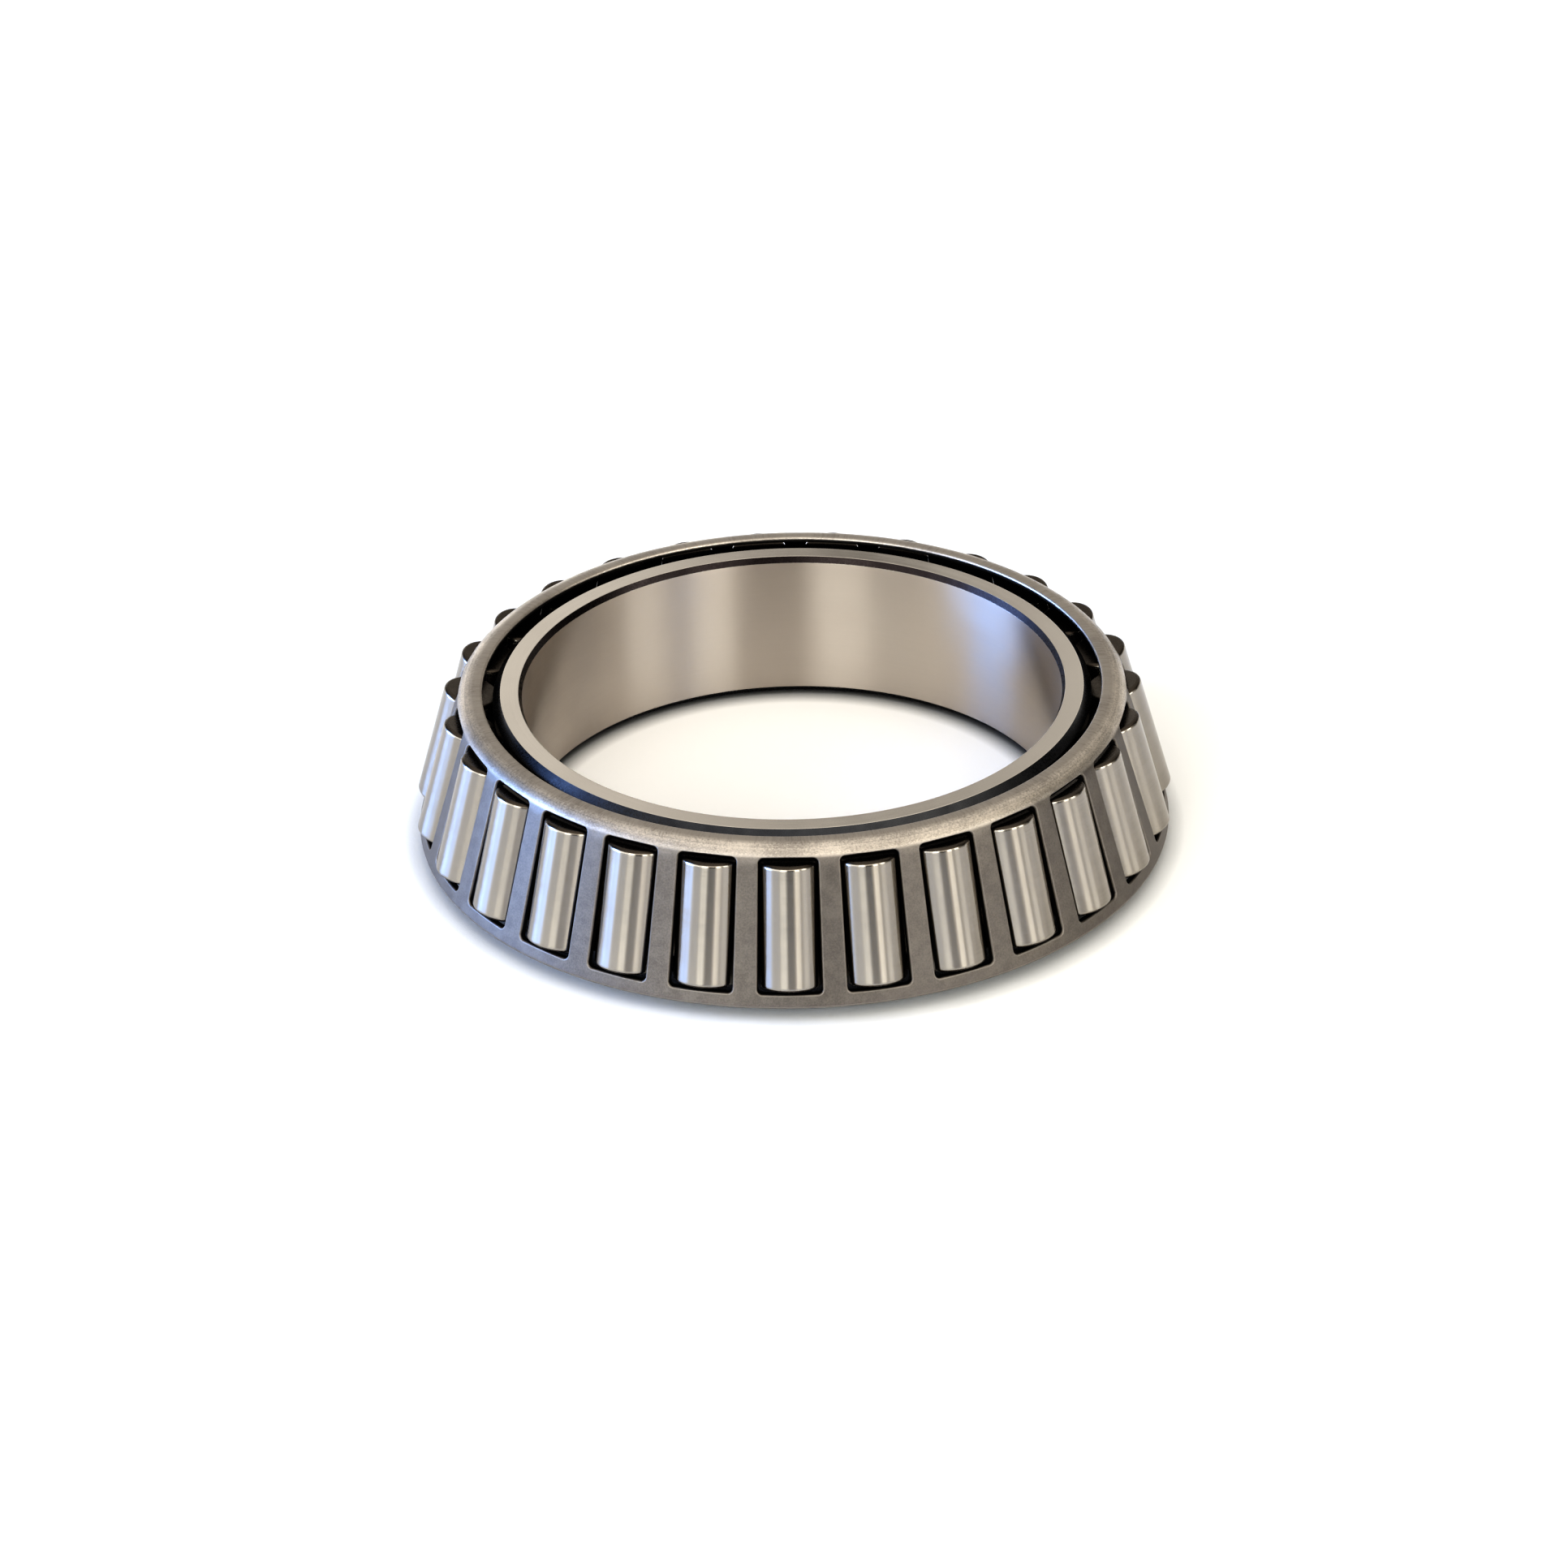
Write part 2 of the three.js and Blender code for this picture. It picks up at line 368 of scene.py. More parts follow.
def sheet_depth(radius, height):
    """How far a point of the cone or the bend lies inside the sheet's outer surface."""
    from_bend = np.array([radius, height]) - BEND_CENTRE
    if math.atan2(from_bend[1], from_bend[0]) <= CAGE_ANGLE:
        return float((RIM - np.array([radius, height])) @ CONE_OUT)
    return CAGE_BEND_RADIUS - float(np.hypot(*from_bend))


def sheet_s(radius, height):
    """How far up the sheet a point of the cone or the bend is."""
    from_bend = np.array([radius, height]) - BEND_CENTRE
    turn = math.atan2(from_bend[1], from_bend[0])
    if turn <= CAGE_ANGLE:
        return float((np.array([radius, height]) - RIM) @ CONE_UP)
    return BEND_START + CAGE_BEND_RADIUS * (turn - CAGE_ANGLE)


def punched(x, y, depth):
    """Where the punch's line through (x across, y along the roller) is at a depth in the sheet,
    as (s, angle about the bearing's axis)."""
    low, high = 0.0, 2 * ROLLER_LARGE_RADIUS

    def at(outward):
        near, height = beside_roller(y, outward)
        return math.hypot(near, x), height, math.atan2(x, near)

    for _ in range(PUNCH_HALVINGS):
        middle = (low + high) / 2
        radius, height, _angle = at(middle)
        if sheet_depth(radius, height) > depth:
            low = middle
        else:
            high = middle
    radius, height, angle = at((low + high) / 2)
    return sheet_s(radius, height), angle


def pocket_outline(offset, lean):
    """Points of the pocket's edge, moved outwards by offset and with the upper end moved down by
    lean, as (x, y). They run round from the middle of the lower left corner, side by side, and
    each side has a fixed number of points."""
    bottom = -POCKET_LARGE_END_GAP
    top = ROLLER_LENGTH + POCKET_SMALL_END_GAP - lean
    half_bottom = ROLLER_LARGE_RADIUS - POCKET_SIDE_RETAIN
    half_top = ROLLER_SMALL_RADIUS - POCKET_SIDE_RETAIN
    inset = POCKET_CORNER
    centres = [
        (inset - half_bottom, bottom + inset),
        (half_bottom - inset, bottom + inset),
        (half_top - inset, top - inset),
        (inset - half_top, top - inset),
    ]
    reach = POCKET_CORNER + offset
    points = []
    for side, steps in enumerate((ACROSS_STEPS, UP_STEPS, ACROSS_STEPS, UP_STEPS)):
        facing = -QUARTER + side * QUARTER
        start, end = centres[side], centres[(side + 1) % 4]
        for k in range(CORNER_STEPS):
            a = facing - QUARTER / 2 * (1 - k / CORNER_STEPS)
            points.append((start[0] + reach * math.cos(a), start[1] + reach * math.sin(a)))
        for k in range(steps + 1):
            t = k / steps
            x = start[0] + (end[0] - start[0]) * t + reach * math.cos(facing)
            y = start[1] + (end[1] - start[1]) * t + reach * math.sin(facing)
            points.append((x, y))
        for k in range(1, CORNER_STEPS):
            a = facing + QUARTER / 2 * k / CORNER_STEPS
            points.append((end[0] + reach * math.cos(a), end[1] + reach * math.sin(a)))
    return points


def band_outline():
    """Points of the sector's edge that match pocket_outline one by one, as (s, angle)."""
    low, high = POCKET_BAND
    half = PITCH / 2
    corners = [(low, -half), (low, half), (high, half), (high, -half)]
    points = []
    for side, steps in enumerate((ACROSS_STEPS, UP_STEPS, ACROSS_STEPS, UP_STEPS)):
        start, end = np.array(corners[side]), np.array(corners[(side + 1) % 4])
        count = steps + 2 * CORNER_STEPS
        points += [tuple(start + (end - start) * k / count) for k in range(count)]
    return points


def pocket_rings():
    """Closed rings of (s, angle, depth, wear_and_painted_light): in from the sector's edge on the
    outside, round the punched edge, down the wall, round its exit, and back out to the sector's
    edge on the inside."""
    band = np.array(band_outline())

    def edge(offset, depth, lean=0.0):
        return np.array([punched(x, y, depth) for x, y in pocket_outline(offset, lean)])

    def ring(points, depth, wear_and_painted_light):
        return [(s, angle, depth, wear_and_painted_light) for s, angle in points]

    def spread(points, depth, wear_and_painted_light, shares):
        return [ring(band + (points - band) * share, depth, wear_and_painted_light) for share in shares]

    rings = spread(edge(PUNCH_ROUND, 0.0), 0.0, WEAR_NONE, POCKET_SPREAD)
    for step in range(PUNCH_ROUND_STEPS + 1):
        a = QUARTER * step / PUNCH_ROUND_STEPS
        offset = PUNCH_ROUND * (1 - math.sin(a))
        depth = PUNCH_ROUND * (1 - math.cos(a))
        rings.append(ring(edge(offset, depth), depth, PUNCHED_EDGE_WEAR_AND_SHEEN))
    for depth in (PUNCH_ROUND + SUPPORT, CAGE_SHEET / 2, CAGE_SHEET - PUNCH_EXIT_ROUND - SUPPORT):
        share = (depth - PUNCH_ROUND) / (CAGE_SHEET - PUNCH_ROUND - PUNCH_EXIT_ROUND)
        wall = edge(-PUNCH_TAPER * share, depth, PUNCH_LEAN * share)
        rings.append(ring(wall, depth, PAINTED_SHADE_INSIDE))
    for step in range(PUNCH_EXIT_STEPS + 1):
        a = QUARTER * step / PUNCH_EXIT_STEPS
        offset = PUNCH_EXIT_ROUND * (1 - math.cos(a)) - PUNCH_TAPER
        depth = CAGE_SHEET - PUNCH_EXIT_ROUND * (1 - math.sin(a))
        rings.append(ring(edge(offset, depth, PUNCH_LEAN), depth, PAINTED_SHADE_INSIDE))
    inner = edge(PUNCH_EXIT_ROUND - PUNCH_TAPER, CAGE_SHEET, PUNCH_LEAN)
    rings += spread(inner, CAGE_SHEET, PAINTED_SHADE_INSIDE, reversed(POCKET_SPREAD))
    return rings


def sheet_edge(first, last, last_inside):
    """The cross-section from s = first on the outside, round the sheet's end at s = last, which
    is at last_inside on the inside, and back to s = first, as (s, depth, wear_and_painted_light)."""
    corners = [
        (first, 0.0, 0),
        (last, 0.0, SHEET_END_ROUND),
        (last_inside, CAGE_SHEET, SHEET_END_ROUND),
        (first, CAGE_SHEET, 0),
    ]
    path = rounded(corners, closed=False)
    dense = []
    for here, there in zip(path, path[1:]):
        reach = math.hypot(there[0] - here[0], there[1] - here[1])
        steps = max(1, math.ceil(reach / LONGEST_SHEET_STEP))
        for k in range(steps):
            t = k / steps
            dense.append((here[0] + (there[0] - here[0]) * t, here[1] + (there[1] - here[1]) * t))
    dense.append(path[-1])
    # The end's rubbing, partly a painted highlight
    end_wear_and_sheen = RIM_WEAR_AND_SHEEN if last < first else HOLE_EDGE_WEAR_AND_SHEEN

    def wear_and_painted_light(s, depth):
        at_end = abs(s - last) < SHEET_END_ROUND
        if depth > SHEET_END_ROUND + SUPPORT / 2:
            return PAINTED_SHADE_INNER_END if at_end else PAINTED_SHADE_INSIDE
        return end_wear_and_sheen if at_end and depth > 0 else WEAR_NONE

    return [(s, depth, wear_and_painted_light(s, depth)) for s, depth in dense]


def strip(path, angles):
    """Rows of points along a cross-section path, one row for each of its points."""
    return [[(s, angle, depth, wear_and_painted_light) for angle in angles] for s, depth, wear_and_painted_light in path]


def joined(rows, first_index, closed):
    """Quads between rows of equal length."""
    width = len(rows[0])
    faces = []
    for r in range(len(rows) - 1):
        here, there = first_index + r * width, first_index + (r + 1) * width
        for i in range(width if closed else width - 1):
            j = (i + 1) % width
            faces.append([here + i, here + j, there + j, there + i])
    return faces


def cage_sheet():
    """One sector with its pocket, repeated round the axis and welded."""
    across = ACROSS_STEPS + 2 * CORNER_STEPS
    angles = [angle for _s, angle in band_outline()[: across + 1]]
    low, high = POCKET_BAND
    rim_inside = CAGE_SHEET * math.tan(CAGE_ANGLE)
    parts = [
        (pocket_rings(), True),
        (strip(sheet_edge(high, SHEET_END, SHEET_END), angles), False),
        (strip(sheet_edge(low, 0.0, rim_inside), angles), False),
    ]
    sector, faces = [], []
    for rows, closed in parts:
        faces += joined(rows, len(sector), closed)
        sector += [point for row in rows for point in row]
    placed = np.array([sheet_point(s, depth) for s, _angle, depth, _wear in sector])
    spin = np.array([angle for _s, angle, _depth, _wear in sector])
    wear_and_painted_light = np.array([wear_and_painted_light for _s, _angle, _depth, wear_and_painted_light in sector])
    vertices, all_faces = [], []
    for station in range(ROLLER_COUNT):
        turn = spin + station * PITCH
        x = placed[:, 0] * np.sin(turn)
        y = -placed[:, 0] * np.cos(turn)
        start = station * len(sector)
        vertices.append(np.stack([x, y, placed[:, 1]], axis=1))
        all_faces += [[start + i for i in face] for face in faces]
    all_wear_and_painted_light = np.tile(wear_and_painted_light, ROLLER_COUNT)
    return mesh_object("cage_sheet", np.concatenate(vertices), all_faces, wear_and_painted_light=all_wear_and_painted_light)


# ---------------------------------------------------------------- materials

# Most of a noise's values lie in the first range, and the greater part of those in the second.
NOISE_RANGE = (0.3, 0.7)
NOISE_MIDDLE = (0.35, 0.65)


def rgb(red, green, blue):
    return (red, green, blue, 1.0)


class Graph:
    """A short way to wire shader nodes."""

    def __init__(self, tree):
        self.tree = tree
        tree.nodes.clear()

    def add(self, kind, inputs=None, **settings):
        node = self.tree.nodes.new(kind)
        for key, value in settings.items():
            setattr(node, key, value)
        for key, value in (inputs or {}).items():
            self.feed(node.inputs[key], value)
        return node

    def feed(self, socket, value):
        if isinstance(value, bpy.types.NodeSocket):
            self.tree.links.new(value, socket)
        else:
            socket.default_value = value

    def math(self, operation, *values, clamp=False):
        inputs = dict(enumerate(values))
        return self.add("ShaderNodeMath", inputs, operation=operation, use_clamp=clamp).outputs[0]

    def weighted(self, *parts):
        """The sum of values times their weights, from (value, weight) pairs."""
        total = None
        for value, weight in reversed(parts):
            part = self.math("MULTIPLY", value, weight)
            total = part if total is None else self.math("ADD", part, total)
        return total

    def length(self, x, y):
        squares = self.math("ADD", self.math("MULTIPLY", x, x), self.math("MULTIPLY", y, y))
        return self.math("SQRT", squares)

    def vector(self, x, y, z):
        return self.add("ShaderNodeCombineXYZ", {0: x, 1: y, 2: z}).outputs[0]

    def place(self):
        """Object coordinates, as a vector and as x, y and z."""
        vector = self.add("ShaderNodeTexCoord").outputs["Object"]
        return vector, self.add("ShaderNodeSeparateXYZ", {0: vector}).outputs

    def mix(self, factor, first, second):
        """The mix node's colour sockets are its seventh and eighth, and its third output."""
        node = self.add("ShaderNodeMix", data_type="RGBA")
        for socket, value in ((0, factor), (6, first), (7, second)):
            self.feed(node.inputs[socket], value)
        return node.outputs[2]

    def span(self, value, low, high, to_low=0.0, to_high=1.0):
        inputs = {0: value, 1: low, 2: high, 3: to_low, 4: to_high}
        return self.add("ShaderNodeMapRange", inputs, interpolation_type="SMOOTHSTEP").outputs[0]

    def noise(self, vector, scale, detail=3.0, roughness=0.55):
        """Noise with about scale features to the vector's unit, a metre if it is a place."""
        inputs = {"Vector": vector, "Scale": scale, "Detail": detail, "Roughness": roughness}
        return self.add("ShaderNodeTexNoise", inputs).outputs["Fac"]

    def ramp(self, value, stops):
        node = self.add("ShaderNodeValToRGB", {"Fac": value})
        node.color_ramp.interpolation = "EASE"
        elements = node.color_ramp.elements
        while len(elements) < len(stops):
            elements.new(0.5)
        for element, (position, colour) in zip(elements, stops):
            element.position = position
            element.color = colour
        return node.outputs["Color"]

    def metal(self, colour, roughness, relief, relief_mm, more=None):
        """Ends the graph in a metal surface that relief, up to relief_mm high, makes uneven."""
        bump = {"Strength": 1.0, "Distance": relief_mm * MM, "Height": relief}
        normal = self.add("ShaderNodeBump", bump).outputs[0]
        inputs = {"Base Color": colour, "Metallic": 1.0, "Roughness": roughness, "Normal": normal}
        shader = self.add("ShaderNodeBsdfPrincipled", {**inputs, **(more or {})})
        self.add("ShaderNodeOutputMaterial", {"Surface": shader.outputs[0]})


def new_material(name):
    material = bpy.data.materials.new(name)
    material.use_nodes = True
    return material, Graph(material.node_tree)


# The fineness of the noises, in features to the metre
GROUND_CLOUDS = 90.0
HARDENED_GRAIN = 3500.0
HARDENED_CLOUDS = 500.0
SHEET_GRAIN = 5200.0
SHEET_MOTTLE = 700.0
SHEET_CLOUDS = 60.0
SHEET_RINGS = 2600.0
SHEET_PATCHES = 170.0

# How far lathe lines stray from true circles, and how much less across Y than across X
LINE_DRIFT = 0.02
LINE_SKEW = 0.73

# What clouds and lines add to ground steel's roughness, and how rough hardened steel is
GROUND_CLOUD_ROUGHNESS = 0.03
GROUND_LINE_ROUGHNESS = (-0.02, 0.03)
HARDENED_ROUGHNESS = (0.24, 0.34)
QUARTER_TURN = 0.25


def lathe_lines(g, lines_per_mm):
    """Noise drawn out into circles about the object's Z, as a lathe or grinder leaves, and the
    object coordinates."""
    place, (x, y, z) = g.place()
    drift = g.math("ADD", x, g.math("MULTIPLY", y, LINE_SKEW))
    circles = g.vector(g.length(x, y), z, g.math("MULTIPLY", drift, LINE_DRIFT))
    return g.noise(circles, lines_per_mm / MM, detail=4.0, roughness=0.65), place


def ground_steel(name, colours, roughness, anisotropy, lines_per_mm, line_height):
    """Ground steel: fine circular lines, which spread reflections square to the lines."""
    material, g = new_material(name)
    lines, place = lathe_lines(g, lines_per_mm)
    cloud = g.noise(place, GROUND_CLOUDS, detail=4.0)
    colour = g.mix(g.weighted((lines, 0.5), (cloud, 0.5)), *colours)
    low, high = roughness - GROUND_CLOUD_ROUGHNESS, roughness + GROUND_CLOUD_ROUGHNESS
    rough = g.math(
        "ADD",
        g.span(cloud, *NOISE_RANGE, low, high),
        g.span(lines, *NOISE_RANGE, *GROUND_LINE_ROUGHNESS),
    )
    brushed = {
        "Anisotropic": anisotropy,
        "Anisotropic Rotation": QUARTER_TURN,
        "Tangent": g.add("ShaderNodeTangent", direction_type="RADIAL", axis="Z").outputs[0],
    }
    g.metal(colour, rough, lines, line_height, brushed)
    return material


def hardened_steel(name, colours, lines_per_mm, line_height):
    """Turned steel with the thin dark scale that hardening leaves."""
    material, g = new_material(name)
    lines, place = lathe_lines(g, lines_per_mm)
    grain = g.noise(place, HARDENED_GRAIN, detail=3.0)
    cloud = g.noise(place, HARDENED_CLOUDS, detail=3.0)
    relief = g.weighted((lines, 0.6), (grain, 0.6))
    rough = g.span(grain, *NOISE_RANGE, *HARDENED_ROUGHNESS)
    g.metal(g.mix(cloud, *colours), rough, relief, line_height)
    return material


def bore_steel():
    return ground_steel(
        "ring_bore_steel",
        colours=(rgb(0.485, 0.435, 0.387), rgb(0.460, 0.413, 0.368)),
        roughness=0.32,
        anisotropy=1.0,
        lines_per_mm=6.0,
        line_height=0.0004,
    )


def face_steel():
    return ground_steel(
        "ring_face_steel",
        colours=(rgb(0.70, 0.655, 0.60), rgb(0.64, 0.60, 0.55)),
        roughness=0.15,
        anisotropy=0.5,
        lines_per_mm=6.0,
        line_height=0.0006,
    )


def barrel_steel():
    return ground_steel(
        "roller_steel",
        colours=(rgb(0.345, 0.316, 0.278), rgb(0.326, 0.299, 0.263)),
        roughness=0.20,
        anisotropy=1.0,
        lines_per_mm=9.0,
        line_height=0.0002,
    )


def turned_steel():
    return hardened_steel(
        "ring_turned_steel",
        colours=(rgb(0.030, 0.031, 0.035), rgb(0.068, 0.070, 0.076)),
        lines_per_mm=4.0,
        line_height=0.004,
    )


def front_chamfer_steel():
    return hardened_steel(
        "ring_chamfer_steel",
        colours=(rgb(0.013, 0.010, 0.010), rgb(0.030, 0.024, 0.023)),
        lines_per_mm=4.0,
        line_height=0.004,
    )


def roller_end_steel():
    return hardened_steel(
        "roller_end_steel",
        colours=(rgb(0.040, 0.034, 0.028), rgb(0.096, 0.080, 0.066)),
        lines_per_mm=5.0,
        line_height=0.008,
    )


# The cage's colours
SHEET_COLOURS = (rgb(0.134, 0.119, 0.106), rgb(0.196, 0.175, 0.154))
SHEET_CLOUD_COLOUR = rgb(0.142, 0.130, 0.124)
# Bare rubbed steel, which also paints a highlight on the bend and along the edges
SHEET_POLISH_AND_SHEEN = rgb(0.66, 0.60, 0.53)
# The colour of the painted shade inside the sheet and down the pocket walls
SHEET_PAINTED_SHADE = rgb(0.020, 0.019, 0.018)
CLOUD_STRENGTH = 0.2

# The heights over which the rubbed band of the bend, which is partly a painted highlight, begins
# and ends, and how far it is rubbed and brightened
BURNISH_AND_SHEEN_LOW = (18.05, 18.65)
BURNISH_AND_SHEEN_HIGH = (19.2, 19.43)
FLANGE_BURNISH_AND_SHEEN = 0.38
STREAK_RANGE = (0.40, 0.60)
LEAST_BURNISH_AND_SHEEN = 0.25
EDGE_POLISH_AND_SHEEN = 0.25

# Streaks drawn round the axis: their scale to the radian, and how many radians a metre of height
# counts as
STREAKS_PER_RADIAN = 160.0
STREAK_FLATNESS = 60.0

# How rough and uneven the sheet is, in parts and in millimetres
SHEET_ROUGHNESS = (0.44, 0.54)
POLISH_SMOOTHS = 0.16
STREAK_RELIEF = 0.5
SHEET_RELIEF = 0.012


def drawn_streaks(g, x, y, height):
    """Streaks round the bearing's axis, as pressing leaves."""
    radius = g.length(x, y)
    round_the_axis = g.vector(
        g.math("DIVIDE", x, radius),
        g.math("DIVIDE", y, radius),
        g.math("MULTIPLY", height, STREAK_FLATNESS),
    )
    return g.noise(round_the_axis, STREAKS_PER_RADIAN, detail=5.0, roughness=0.7)


def cage_steel():
    """Pressed sheet: matt grey grain, rubbed bright on the bend and edges, partly as a painted
    highlight, with painted shade inside.
    """
    material, g = new_material("cage_steel")
    place, (x, y, height) = g.place()
    wear_and_painted_light = g.add("ShaderNodeAttribute", attribute_name="wear_and_painted_light").outputs["Fac"]
    # Painted shade inside the sheet and down the pocket walls
    painted_shade = g.math("MULTIPLY", wear_and_painted_light, -1.0, clamp=True)
    # Rubbed edges, partly a painted highlight
    rubbed_edges_and_sheen = g.math("MAXIMUM", wear_and_painted_light, 0.0)
    grain = g.noise(place, SHEET_GRAIN, detail=3.0, roughness=0.7)
    mottle = g.noise(place, SHEET_MOTTLE, detail=4.0)
    cloud = g.noise(place, SHEET_CLOUDS, detail=3.0)
    shade = g.weighted((grain, 0.6), (mottle, 0.4))
    colour = g.mix(g.span(shade, *NOISE_MIDDLE), *SHEET_COLOURS)
    clouded = g.span(cloud, *NOISE_MIDDLE, 0.0, CLOUD_STRENGTH)
    colour = g.mix(clouded, colour, SHEET_CLOUD_COLOUR)

    # The rubbed band round the bend, partly a painted highlight
    rubbed_band_and_sheen = g.math(
        "MULTIPLY",
        g.span(height, BURNISH_AND_SHEEN_LOW[0] * MM, BURNISH_AND_SHEEN_LOW[1] * MM),
        g.span(height, BURNISH_AND_SHEEN_HIGH[0] * MM, BURNISH_AND_SHEEN_HIGH[1] * MM, 1.0, FLANGE_BURNISH_AND_SHEEN),
    )
    drawn = drawn_streaks(g, x, y, height)
    rings = g.noise(g.vector(0.0, 0.0, height), SHEET_RINGS, detail=3.0)
    patches = g.noise(place, SHEET_PATCHES, detail=4.0)
    streaks = g.weighted((drawn, 0.35), (rings, 0.45), (patches, 0.20))
    streaked = g.span(streaks, *STREAK_RANGE, LEAST_BURNISH_AND_SHEEN, 1.0)
    burnish_and_sheen = g.math("MULTIPLY", rubbed_band_and_sheen, streaked)
    polish_and_sheen = g.math("MAXIMUM", burnish_and_sheen, g.math("MULTIPLY", rubbed_edges_and_sheen, EDGE_POLISH_AND_SHEEN))
    # Rubbed steel with a painted highlight on the bend and the edges
    colour = g.mix(polish_and_sheen, colour, SHEET_POLISH_AND_SHEEN)
    # Paint the shade over the inside of the sheet and the pocket walls
    colour = g.mix(painted_shade, colour, SHEET_PAINTED_SHADE)

    matt = g.span(shade, *NOISE_RANGE, *SHEET_ROUGHNESS)
    rough = g.math("SUBTRACT", matt, g.math("MULTIPLY", polish_and_sheen, POLISH_SMOOTHS))
    scored = g.math("MULTIPLY", g.math("MULTIPLY", drawn, rubbed_band_and_sheen), STREAK_RELIEF)
    g.metal(colour, rough, g.math("ADD", shade, scored), SHEET_RELIEF)
    return material


# ---------------------------------------------------------------- pieces


def dress(piece, body, slot, node, *materials):
    """Gives a piece its materials and the body it rides on, and hides the node it replaces. The
    slot is not used.
    """
    for material in materials:
        piece.data.materials.append(material)
    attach(piece, body)
    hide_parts(node)


def add_ring():
    ring = turned("ring_body", ring_outline(), RING_SEGMENTS, True, ring_slot)
    materials = (face_steel(), bore_steel(), turned_steel(), front_chamfer_steel())
    dress(ring, "inner_ring", "ring_steel", "inner_ring", *materials)


def add_cage():
    dress(cage_sheet(), "cage", "cage_steel", "cage", cage_steel())


def add_rollers():
    outline = roller_outline()
    materials = (barrel_steel(), roller_end_steel())
    for station in range(ROLLER_COUNT):
        number = f"{station + 1:02d}"
        roller = turned(f"roller_body_{number}", outline, ROLLER_SEGMENTS, False, roller_slot)
        roller.matrix_world = station_matrix(station)
        dress(roller, f"roller_{number}", "roller_steel", f"roller_{number}", *materials)


# ---------------------------------------------------------------- camera

# The camera looks at the origin, and is then turned by its yaw, pitch and roll. Its distance and
# clipping are in metres, and its lens and sensor in millimetres.
CAMERA_DISTANCE = 0.6673
CAMERA_ELEVATION = radians(30.147)
CAMERA_AZIMUTH = radians(1.162)
CAMERA_YAW = radians(-0.100)
CAMERA_PITCH = radians(0.393)
CAMERA_ROLL = radians(-1.163)
CAMERA_LENS = 128.44
CAMERA_SENSOR = 36.0
CAMERA_CLIP = (0.01, 20.0)


def swung(first, second, angle):
    """Two square axes turned in their own plane, the first towards the second."""
    return (
        first * math.cos(angle) + second * math.sin(angle),
        second * math.cos(angle) - first * math.sin(angle),
    )


def add_camera():
    away = Vector((0, -math.cos(CAMERA_ELEVATION), math.sin(CAMERA_ELEVATION)))
    aim = -away
    right = Vector((1, 0, 0))
    up = right.cross(aim)
    aim, right = swung(aim, right, CAMERA_YAW)
    aim, up = swung(aim, up, CAMERA_PITCH)
    right, up = swung(right, up, CAMERA_ROLL)
    place = Matrix((right, up, -aim)).transposed().to_4x4()
    place.translation = away * CAMERA_DISTANCE
    data = bpy.data.cameras.new("camera")
    data.lens = CAMERA_LENS
    data.sensor_width = CAMERA_SENSOR
    data.clip_start, data.clip_end = CAMERA_CLIP
    camera = bpy.data.objects.new("camera", data)
    camera.matrix_world = Matrix.Rotation(CAMERA_AZIMUTH, 4, "Z") @ place
    bpy.context.scene.collection.objects.link(camera)
    bpy.context.scene.camera = camera


# ---------------------------------------------------------------- floor and surround

# Radii in metres
STUDIO_RADIUS = 3.0
FLOOR_RADIUS = 0.5

# How far from metal a contact shadow is painted on the table, in millimetres, and how
CONTACT_SHADOW_REACH = 2.6
CONTACT_SHADOW_SAMPLES = 4
CONTACT_SHADOW_FALLOFF = 1.5
CONTACT_SHADOW_COLOUR = rgb(0.03, 0.03, 0.03)
FLOOR_COLOUR = rgb(0.87, 0.87, 0.87)
SURROUND_COLOUR = rgb(0.97, 0.97, 0.98)


def floor_material():
    """Matt and pale, with a painted contact shadow in the narrow gap where metal all but touches
    the table.
    """
    material, g = new_material("studio_floor")
    reach = {"Distance": CONTACT_SHADOW_REACH * MM}
    # A painted contact shadow: the table darkens where metal is near
    openness = g.add("ShaderNodeAmbientOcclusion", reach, samples=CONTACT_SHADOW_SAMPLES).outputs["AO"]
    shade = g.mix(g.math("POWER", openness, CONTACT_SHADOW_FALLOFF), CONTACT_SHADOW_COLOUR, FLOOR_COLOUR)
    shader = g.add("ShaderNodeBsdfDiffuse", {"Color": shade})
    g.add("ShaderNodeOutputMaterial", {"Surface": shader.outputs[0]})
    return material


def surround_material():
    material, g = new_material("studio_surround")
    glow = g.add("ShaderNodeEmission", {"Color": SURROUND_COLOUR, "Strength": 1.0})
    g.add("ShaderNodeOutputMaterial", {"Surface": glow.outputs[0]})
    return material


def add_floor():
    """A pale table top, and a plain pale surround that only the camera sees."""
    bpy.ops.mesh.primitive_circle_add(vertices=128, radius=FLOOR_RADIUS, fill_type="NGON")
    floor = bpy.context.object
    floor.name = "studio_floor"
    floor.data.materials.append(floor_material())
    bpy.ops.mesh.primitive_uv_sphere_add(segments=64, ring_count=32, radius=STUDIO_RADIUS)
    surround = bpy.context.object
    surround.name = "studio_surround"
    surround.visible_diffuse = False
    surround.visible_glossy = False
    surround.visible_transmission = False
    surround.visible_shadow = False
    surround.data.materials.append(surround_material())


# ---------------------------------------------------------------- light

